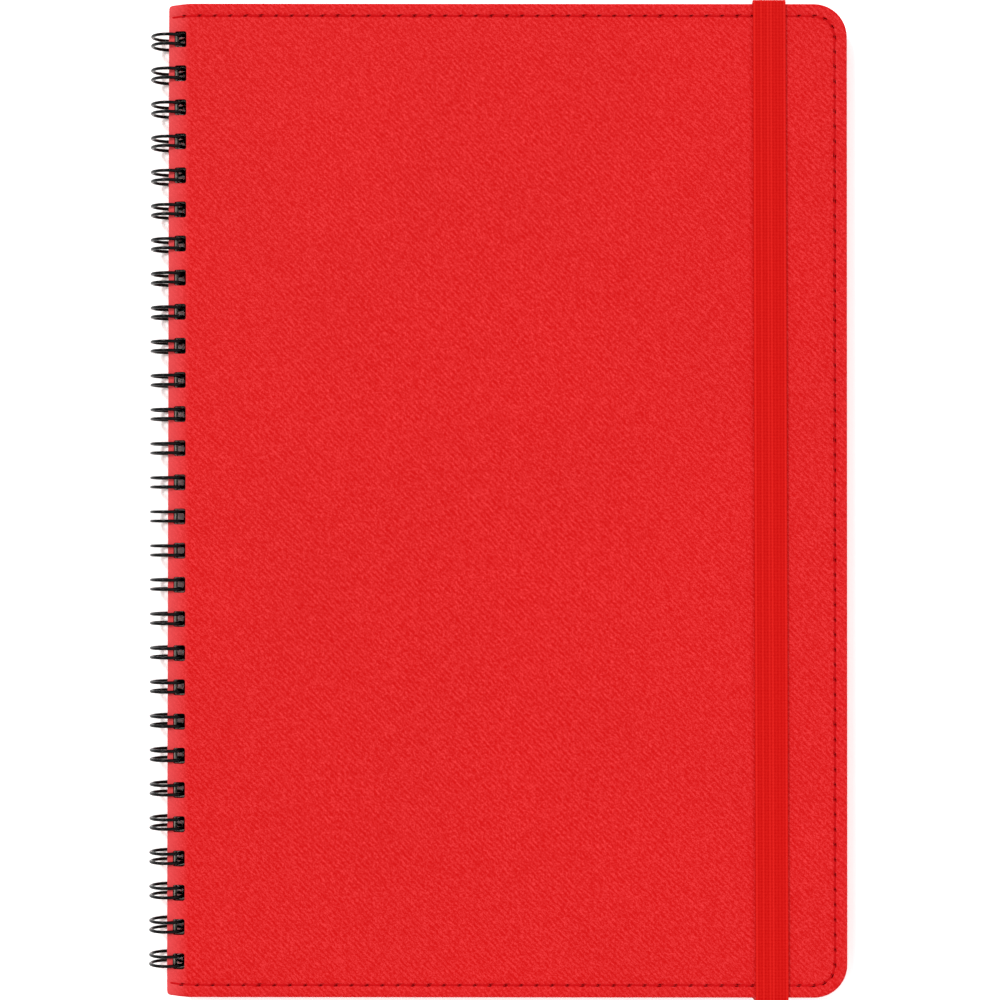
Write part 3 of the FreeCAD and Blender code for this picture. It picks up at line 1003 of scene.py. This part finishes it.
        def at_needle(point: bmesh.types.BMVert) -> bool:
            """Whether a point lies in the groove beside a needle hole."""
            flat = Vector((point.co.x, point.co.y, 0))
            return point.co.z > floor and tree.find(flat)[2] < self.needle_reach

        with editing(piece):
            choose(piece, Element.POINTS, at_needle)
            bpy.ops.transform.translate(
                value=(0, 0, -self.pucker),
                use_proportional_edit=True,
                proportional_edit_falloff="SMOOTH",
                proportional_size=self.pucker_reach,
            )

    def turned(self, piece: bpy.types.Object) -> bpy.types.Object:
        """Turn a piece over about the hinge line if it belongs to the back cover.

        Args:
            piece: A piece built as the front cover's.

        Returns:
            The same piece.
        """
        if self.side is Side.BACK:
            hinge_z = frame["joints"][0]["pos_m"][2]
            turn = Matrix.Translation((0, 0, hinge_z)) @ Matrix.Rotation(math.pi, 4, "X")
            piece.data.transform(turn @ Matrix.Translation((0, 0, -hinge_z)))
        return piece

    def hole_cutters(self) -> bpy.types.Object:
        """The punch for the row of loop holes, flared where the leather rounds over into it.

        Returns:
            One cutter for the whole row.
        """
        punch = self.holes.one_punch(self.low.x, self.low.z - MM, self.high.z - self.flare_start)
        across, along = self.holes.size
        wider = (1 + 2 * self.hole_flare / across, 1 + 2 * self.hole_flare / along, 1)
        with editing(punch):
            choose(punch, Element.FACES, lambda face: face.normal.z > WALL_SLOPE)
            bpy.ops.mesh.extrude_region_move(TRANSFORM_OT_translate={"value": (0, 0, self.flare_height)})
            bpy.ops.transform.resize(value=wider)
        self.holes.repeat(punch)
        # The hole walls take the cut edge's finish, painted near black as the shade inside the holes.
        dress(punch, self.cut_edge_shade)
        return punch

    def on_face(self, point: Vector, face: int) -> Vector:
        """Lift a needle hole from the plan to the face that it pricks.

        Args:
            point: The needle hole in plan.
            face: 1 for the outer face, -1 for the inner one.

        Returns:
            Where the thread goes in.
        """
        height = self.high.z - self.thread_sink - self.roll_at(point.x)
        if face < 0:
            height = self.low.z + self.inner_rise
        inwards = -self.pinch_at(point.x) * math.copysign(1, point.y)
        return point + Vector((0, inwards, height))

    def needle_pits(self) -> bpy.types.Object:
        """Cutters for the needle holes on both faces, each a short slanted oval pit.

        Returns:
            All the pits as one.
        """
        bpy.ops.object.select_all(action="DESELECT")
        bpy.ops.mesh.primitive_uv_sphere_add(segments=10, ring_count=6, radius=0.5)
        pit = bpy.context.object
        pit.scale = self.pit_size
        bpy.ops.object.transform_apply(scale=True)
        points = self.seam.needle_points()
        pits = []
        for before, point, after in zip([points[0]] + points, points, points[1:] + [points[-1]]):
            heading = math.atan2(after.y - before.y, after.x - before.x)
            turn = Matrix.Rotation(heading + self.pit_slant, 4, "Z")
            for face in (1, -1):
                copy = own_copy(pit, "pit")
                copy.data.transform(Matrix.Translation(self.on_face(point, face)) @ turn)
                pits.append(copy)
        bpy.data.objects.remove(pit)
        cutter = join(pits, "needle_pits")
        dress(cutter, self.needle_shade)
        return cutter

    def cavity(self, node: str, reach: float) -> bpy.types.Object:
        """The room that the board or the lining takes, drawn out past its faces by a reach.

        Args:
            node: The end of the node's name, board or lining.
            reach: How far it is drawn out.

        Returns:
            The cutter.
        """
        room = merged_copy(f"{self.side.value}_{node}", node + "_room")
        if reach:
            low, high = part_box(f"{self.side.value}_{node}")
            centre = (low.z + high.z) / 2
            with editing(room):
                for way in (1, -1):
                    choose(room, Element.POINTS, lambda point: (point.co.z - centre) * way > 0)
                    bpy.ops.transform.translate(value=(0, 0, way * reach))
        return room

    def strap_slits(self) -> bpy.types.Object:
        """Cutters for the two slits that take the band's ends, in the back cover's edges.

        Returns:
            Both slits as one cutter.
        """
        low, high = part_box("elastic_band")
        board_low, board_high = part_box(f"{self.side.value}_board")
        slits = []
        for way in (1, -1):
            ends = sorted((way * (self.high.y - self.slit_depth), way * (self.high.y + MM)))
            slits.append(
                slab(
                    Vector((low.x - self.slit_clearance, ends[0], board_low.z)),
                    Vector((high.x + self.slit_clearance, ends[1], board_high.z)),
                    "slit",
                )
            )
        return join(slits, "strap_slits")

    def build_skin(self, blank: bpy.types.Object) -> None:
        """Hollow the blank for board and lining, and punch and prick it.

        Args:
            blank: The closed cover that both skins are made from.
        """
        skin = own_copy(blank, self.side.value + "_leather")
        dress(skin, self.leather)
        cutters = [self.turned(cutter) for cutter in (self.hole_cutters(), self.needle_pits())]
        self.turned(skin)
        cut_away(skin, self.cavity("board", 0.0))
        cut_away(skin, self.cavity("lining", self.lining_reach))
        for cutter in cutters:
            cut_away(skin, cutter)
        if self.side is Side.BACK:
            cut_away(skin, self.strap_slits())
        smooth(skin)
        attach(skin, self.side.value)
        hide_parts(self.side.value + "_skin")
        report(skin)

    def one_stitch(self) -> bpy.types.Object:
        """One stitch of unit length: a thread that dives into the needle hole at each end.

        Returns:
            The stitch.
        """
        bpy.ops.object.select_all(action="DESELECT")
        bpy.ops.mesh.primitive_cylinder_add(
            vertices=8, radius=self.thread_radius, depth=1, rotation=(0, math.pi / 2, 0)
        )
        stitch = bpy.context.object
        bpy.ops.object.transform_apply(rotation=True)
        with editing(stitch):
            choose(stitch, Element.EDGES, lambda edge: edge.calc_length() > 0.5)
            bpy.ops.mesh.subdivide(number_cuts=9)
            for reach, drop in self.dive:
                choose(stitch, Element.POINTS, lambda point: abs(point.co.x) > reach)
                bpy.ops.transform.translate(value=(0, 0, -drop))
            bpy.ops.mesh.select_all(action="SELECT")
            bpy.ops.transform.resize(value=(1, 1, self.flattening), center_override=(0, 0, 0))
        return stitch

    def build_stitching(self) -> None:
        """Lay a stitch between each two needle holes, on both faces."""
        stitch = self.one_stitch()
        points = self.seam.needle_points()
        start = Vector((self.low.x + self.seam_start, points[0].y, 0))
        end = Vector((self.low.x + self.seam_start, points[-1].y, 0))
        points = [start] + points + [end]
        threads = []
        for face in (1, -1):
            for before, after in zip(points, points[1:]):
                ends = [self.on_face(point, face) for point in (before, after)]
                run = ends[1] - ends[0]
                copy = own_copy(stitch, "stitch")
                axes = run.to_track_quat("X", "Z").to_matrix().to_4x4()
                lengths = Matrix.Diagonal((run.length, 1, face, 1))
                copy.data.transform(Matrix.Translation((ends[0] + ends[1]) / 2) @ axes @ lengths)
                if face < 0:
                    copy.data.flip_normals()
                threads.append(copy)
        bpy.data.objects.remove(stitch)
        thread = self.turned(join(threads, self.side.value + "_stitches"))
        dress(thread, self.thread)
        smooth(thread, THREAD_ANGLE)
        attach(thread, self.side.value)
        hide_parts(self.side.value + "_stitching")
        report(thread)

    def build(self, blank: bpy.types.Object) -> None:
        """Build the skin and the stitching, and dress the board and the lining.

        Args:
            blank: The closed cover that both skins are made from.
        """
        self.build_skin(blank)
        self.build_stitching()
        # The board is painted near black: painted shade for the loop holes.
        dress(frame["nodes"][self.side.value + "_board"], self.board_painted_shade)
        dress(frame["nodes"][self.side.value + "_lining"], self.lining_paper)


# The sheets


@dataclass
class SheetStack:
    """The stack of writing paper, punched for the wire."""

    paper: bpy.types.Material
    punched_edge_painted_shade: bpy.types.Material
    layers: int = 20
    corner: float = 6.0 * MM
    gap: float = 0.006 * MM
    jog: float = 0.07 * MM
    holes: PunchRow = PunchRow(edge=1.15 * MM, size=(3.0 * MM, 3.75 * MM), corner_steps=3)
    bar_layers: int = 5
    groove_sides: tuple[float, float] = (-78.62 * MM, -77.2 * MM)
    groove_reach: float = 114.9 * MM
    groove_depth: float = 0.96 * MM
    seed: int = 7

    def one_layer(self) -> bpy.types.Object:
        """Cut, round and punch one layer at the foot of the stack.

        Returns:
            The lowest layer.
        """
        self.low, self.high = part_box("page_block")
        step = (self.high.z - self.low.z) / self.layers
        layer = slab(self.low, Vector((self.high.x, self.high.y, self.low.z + step - self.gap)), "layer")
        far = self.high.x - SNAP
        with editing(layer):
            choose(
                layer,
                Element.EDGES,
                lambda edge: edge.verts[0].co.x > far
                and edge.verts[1].co.x > far
                and abs(edge.verts[0].co.y - edge.verts[1].co.y) < SNAP,
            )
            bpy.ops.mesh.bevel(offset=self.corner, segments=8)
        punch = self.holes.one_punch(self.low.x, self.low.z - MM, self.low.z + MM)
        self.holes.repeat(punch)
        dress(layer, self.paper)
        # The hole walls are painted dark: painted shade inside the punched holes.
        dress(punch, self.punched_edge_painted_shade)
        cut_away(layer, punch)
        return layer

    def build(self) -> None:
        """Stack the layers, each a little out of line, and press in the groove for the wire."""
        layer = self.one_layer()
        step = (self.high.z - self.low.z) / self.layers
        chance = random.Random(self.seed)
        layers = []
        for i in range(self.layers):
            copy = own_copy(layer, "layer")
            shift = (chance.uniform(-self.jog, 0), chance.uniform(-self.jog, self.jog), i * step)
            copy.data.transform(Matrix.Translation(shift))
            layers.append(copy)
        bpy.data.objects.remove(layer)
        left, right = self.groove_sides
        bar_low = Vector((left, -self.groove_reach, self.low.z - MM))
        bar_high = Vector((right, self.groove_reach, self.low.z + self.groove_depth))
        for copy in layers[: self.bar_layers]:
            cut_away(copy, slab(bar_low, bar_high, "groove"))
        stack = join(layers, "writing_sheets")
        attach(stack, "sheets")
        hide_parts("page_block")
        report(stack)


# The closure band


@dataclass
class ClosureBand:
    """The elastic tape that runs round the front cover from one slit of the back cover."""

    elastic: bpy.types.Material
    thickness: float = 0.86 * MM
    outer_bend: float = 1.0 * MM
    bend_steps: int = 6
    straight_steps: int = 24
    rest_gap: float = 0.1 * MM
    lean: float = 0.65 * MM
    rib_count: int = 10
    rib_rise: float = 0.05 * MM
    tuck_y: float = 117.25 * MM
    end_z: float = 2.0 * MM

    def section(self) -> bpy.types.Object:
        """The tape's section at its tucked end, ribbed on both faces.

        Returns:
            The flat section.
        """
        self.low, self.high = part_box("elastic_band")
        bpy.ops.object.select_all(action="DESELECT")
        bpy.ops.mesh.primitive_plane_add(size=1, rotation=(math.pi / 2, 0, 0))
        tape = bpy.context.object
        tape.scale = (self.high.x - self.low.x - 2 * self.rib_rise, self.thickness - 2 * self.rib_rise, 1)
        tape.location = ((self.low.x + self.high.x) / 2, self.tuck_y, self.end_z)
        bpy.ops.object.transform_apply(location=True, rotation=True, scale=True)
        tape.name = "closure_band"
        with editing(tape):
            choose(tape, Element.EDGES, lambda edge: edge.calc_length() > MM)
            bpy.ops.mesh.subdivide(number_cuts=2 * self.rib_count - 1)
            points = sorted({round(point.co.x, 7) for point in bmesh.from_edit_mesh(tape.data).verts})
            crests = points[1::2]
            for way in (1, -1):
                choose(
                    tape,
                    Element.POINTS,
                    lambda point: (point.co.z - self.end_z) * way > 0
                    and min(abs(point.co.x - crest) for crest in crests) < SNAP * 5,
                )
                bpy.ops.transform.translate(value=(0, 0, way * self.rib_rise))
            choose(tape, Element.EDGES, lambda edge: abs(edge.verts[0].co.x - edge.verts[1].co.x) < SNAP)
            bpy.ops.mesh.subdivide(number_cuts=1)
        return tape

    def build(self) -> None:
        """Draw the section along the band's way round the covers."""
        tape = self.section()
        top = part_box("front_cover_skin")[1].z + self.rest_gap
        cover_y = self.high.y - self.outer_bend
        inner_bend = self.outer_bend - self.thickness
        low_z = self.end_z + self.thickness / 2 + inner_bend
        high_z = top - inner_bend
        with editing(tape):
            bpy.ops.mesh.select_all(action="SELECT")
            self.draw(Vector((0, cover_y - self.tuck_y, 0)), 1)
            self.turn(cover_y, low_z)
            self.draw(Vector((-self.lean / 2, 0, high_z - low_z)), 2)
            self.turn(cover_y, high_z)
            self.draw(Vector((self.lean, -2 * cover_y, 0)), self.straight_steps)
            self.turn(-cover_y, high_z)
            self.draw(Vector((-self.lean / 2, 0, low_z - high_z)), 2)
            self.turn(-cover_y, low_z)
            self.draw(Vector((0, cover_y - self.tuck_y, 0)), 1)
            bpy.ops.mesh.select_all(action="SELECT")
            bpy.ops.mesh.remove_doubles(threshold=SNAP)
            bpy.ops.mesh.normals_make_consistent(inside=False)
        dress(tape, self.elastic)
        smooth(tape, BAND_ANGLE)
        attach(tape, "back_cover")
        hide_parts("elastic_band")
        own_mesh(tape)
        report(tape)

    def draw(self, way: Vector, steps: int) -> None:
        """Extrude the open end straight on, in even steps."""
        for _ in range(steps):
            bpy.ops.mesh.extrude_region_move(TRANSFORM_OT_translate={"value": way / steps})

    def turn(self, y: float, z: float) -> None:
        """Bend the open end a quarter turn about a line across the band.

        Args:
            y: The line's place along the spine.
            z: The line's height.
        """
        bpy.ops.mesh.spin(
            steps=self.bend_steps, angle=-math.pi / 2, center=(0, y, z), axis=(1, 0, 0), use_normal_flip=False
        )


# The studio


@dataclass
class Studio:
    """A pale floor, soft light from above and a camera straight over the notebook."""

    camera_place: tuple[float, float, float] = (1.2 * MM, -5.4 * MM, 577.8 * MM)
    camera_turn: tuple[float, float, float] = (0.534, 0.060, 0.046)
    view_angle: float = 24.55
    floor_size: float = 6.0
    floor_white: float = 0.9
    seen_white: float = 1.8
    sky: float = 0.6
    key_from: Vector = Vector((-0.55, 0.5, 1.0))
    key_power: float = 1.22
    key_spread: float = 14
    fill_from: Vector = Vector((0.7, -0.1, 1.0))
    fill_power: float = 0.38
    fill_spread: float = 40

    def build(self) -> None:
        """Set up floor, light and camera."""
        scene = bpy.context.scene
        scene.view_settings.view_transform = "Standard"
        self.lay_floor()
        self.light_sky()
        self.hang_lamp("key", self.key_from, self.key_power, self.key_spread)
        self.hang_lamp("fill", self.fill_from, self.fill_power, self.fill_spread)
        camera = bpy.data.objects.new("camera", bpy.data.cameras.new("camera"))
        scene.collection.objects.link(camera)
        camera.location = self.camera_place
        camera.rotation_euler = [math.radians(angle) for angle in self.camera_turn]
        camera.data.angle = math.radians(self.view_angle)
        scene.camera = camera

    @staticmethod
    def seen_share(tree: bpy.types.NodeTree, unseen: float, seen: float) -> bpy.types.NodeSocket:
        """One level for what the camera sees, also mirrored or through glass, and one for the rest.

        Args:
            tree: The node tree.
            unseen: The level that lights the object.
            seen: The level that shows.

        Returns:
            The output that holds the level.
        """
        path = add_node(tree, "LightPath")
        direct = {0: path.outputs["Is Camera Ray"], 1: path.outputs["Is Glossy Ray"]}
        either = add_node(tree, "Math", direct, operation="MAXIMUM")
        through = {0: either.outputs[0], 1: path.outputs["Is Transmission Ray"]}
        any_of = add_node(tree, "Math", through, operation="MAXIMUM")
        return add_node(tree, "MapRange", {0: any_of.outputs[0], 3: unseen, 4: seen}).outputs[0]

    def lay_floor(self) -> None:
        """A matt white floor: it looks white where the light reaches it, and keeps the shadow."""
        bpy.ops.object.select_all(action="DESELECT")
        bpy.ops.mesh.primitive_plane_add(size=self.floor_size)
        floor = bpy.context.object
        floor.name = "floor"
        material, tree, shader = new_material("floor_paint")
        level = self.seen_share(tree, self.floor_white, self.seen_white)
        paint = add_node(tree, "BsdfDiffuse", {"Color": level})
        tree.links.new(paint.outputs[0], tree.nodes["Material Output"].inputs["Surface"])
        tree.nodes.remove(shader)
        dress(floor, material)

    def light_sky(self) -> None:
        """An even, soft sky; behind everything the camera sees plain white."""
        world = bpy.data.worlds.new("studio")
        bpy.context.scene.world = world
        world.use_nodes = True
        background = world.node_tree.nodes["Background"]
        path = add_node(world.node_tree, "LightPath")
        level = add_node(
            world.node_tree, "MapRange", {0: path.outputs["Is Camera Ray"], 3: self.sky, 4: 1.0}
        )
        world.node_tree.links.new(level.outputs[0], background.inputs["Strength"])
        background.inputs["Color"].default_value = (1, 1, 1, 1)

    @staticmethod
    def hang_lamp(name: str, place: Vector, power: float, spread: float) -> None:
        """A wide soft light that shines from one direction on everything alike.

        Args:
            name: The lamp's name.
            place: Where it shines from.
            power: Its strength.
            spread: How wide it is, in degrees.
        """
        light = bpy.data.lights.new(name, "SUN")
        light.energy = power
        light.angle = math.radians(spread)
        lamp = bpy.data.objects.new(name, light)
        bpy.context.scene.collection.objects.link(lamp)
        lamp.location = place
        lamp.rotation_euler = (-place).to_track_quat("-Z", "Y").to_euler()


def main() -> None:
    """Build the notebook piece by piece, then the studio, and note the sizes."""
    logging.basicConfig(level=logging.INFO, format="%(name)s: %(message)s")
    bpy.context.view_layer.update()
    leather = ImitationLeather("imitation_leather").material()
    # Polyurethane-coated cloth where the punch cut it: a raw, matt edge. It is drawn far darker than such an
    # edge is, as painted shade, so that the loop holes look as dark as in the photograph.
    cut_edge_shade = PlainFinish(
        "cut_edge_painted_shade", "#4E1614", "#2E0C0B", 0.3 * MM, 0.02 * MM, 0.9, specular=0.05
    ).material()
    # The same cloth, pricked by the needle: matt, and drawn the dark red of a hole in shade.
    needle_shade = PlainFinish(
        "needle_hole", "#6E0507", "#4C0203", 0.3 * MM, 0.02 * MM, 0.9, specular=0.0
    ).material()
    # Spun polyester sewing thread, dyed red and twisted from short fibres, which leaves it matt.
    thread = PlainFinish(
        "spun_polyester_thread", "#DC1016", "#C40A0F", 0.25 * MM, 0.02 * MM, 0.8, specular=0.08
    ).material()
    # Bookbinding board, pressed from waste paper: rough and matt. It shows in the loop holes alone, and is
    # drawn near black, far darker than such board is, as painted shade for the same reason.
    board = PlainFinish(
        "near_black_board_shade", "#1E1B1A", "#141211", 0.4 * MM, 0.03 * MM, 0.9, specular=0.05
    ).material()
    # Uncoated lining paper, rolled smooth on the paper machine: an even, matt cream.
    lining = PlainFinish("lining_paper", "#EFE9DC", "#E6DFCF", 0.5 * MM, 0.01 * MM, 0.85).material()
    blank = None
    for side in Side:
        cover = Cover(side, leather, cut_edge_shade, needle_shade, thread, board, lining)
        if blank is None:
            blank = cover.blank()
            cover.pull_down_seam(blank)
        cover.build(blank)
    bpy.data.objects.remove(blank)
    # Writing paper where the holes were punched: a fuzzy, matt edge. It is drawn far darker than such an edge
    # is, as painted shade, for the same reason as the board.
    punched = PlainFinish(
        "punched_paper_edge_shade", "#3E372F", "#28231E", 0.2 * MM, 0.03 * MM, 0.9, specular=0.05
    ).material()
    SheetStack(SheetPaper("writing_paper").material(), punched).build()
    wire = frame["nodes"]["wire_binding"]
    dress(wire, CoatedWire("nylon_coated_wire").material())
    report(wire)
    low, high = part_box("elastic_band")
    slope = ClosureBand.lean / (high.y - low.y)
    ClosureBand(RibbedElastic("ribbed_elastic", low.x, high.x - low.x, slope).material()).build()
    Studio().build()


if __name__ == "__main__":
    main()
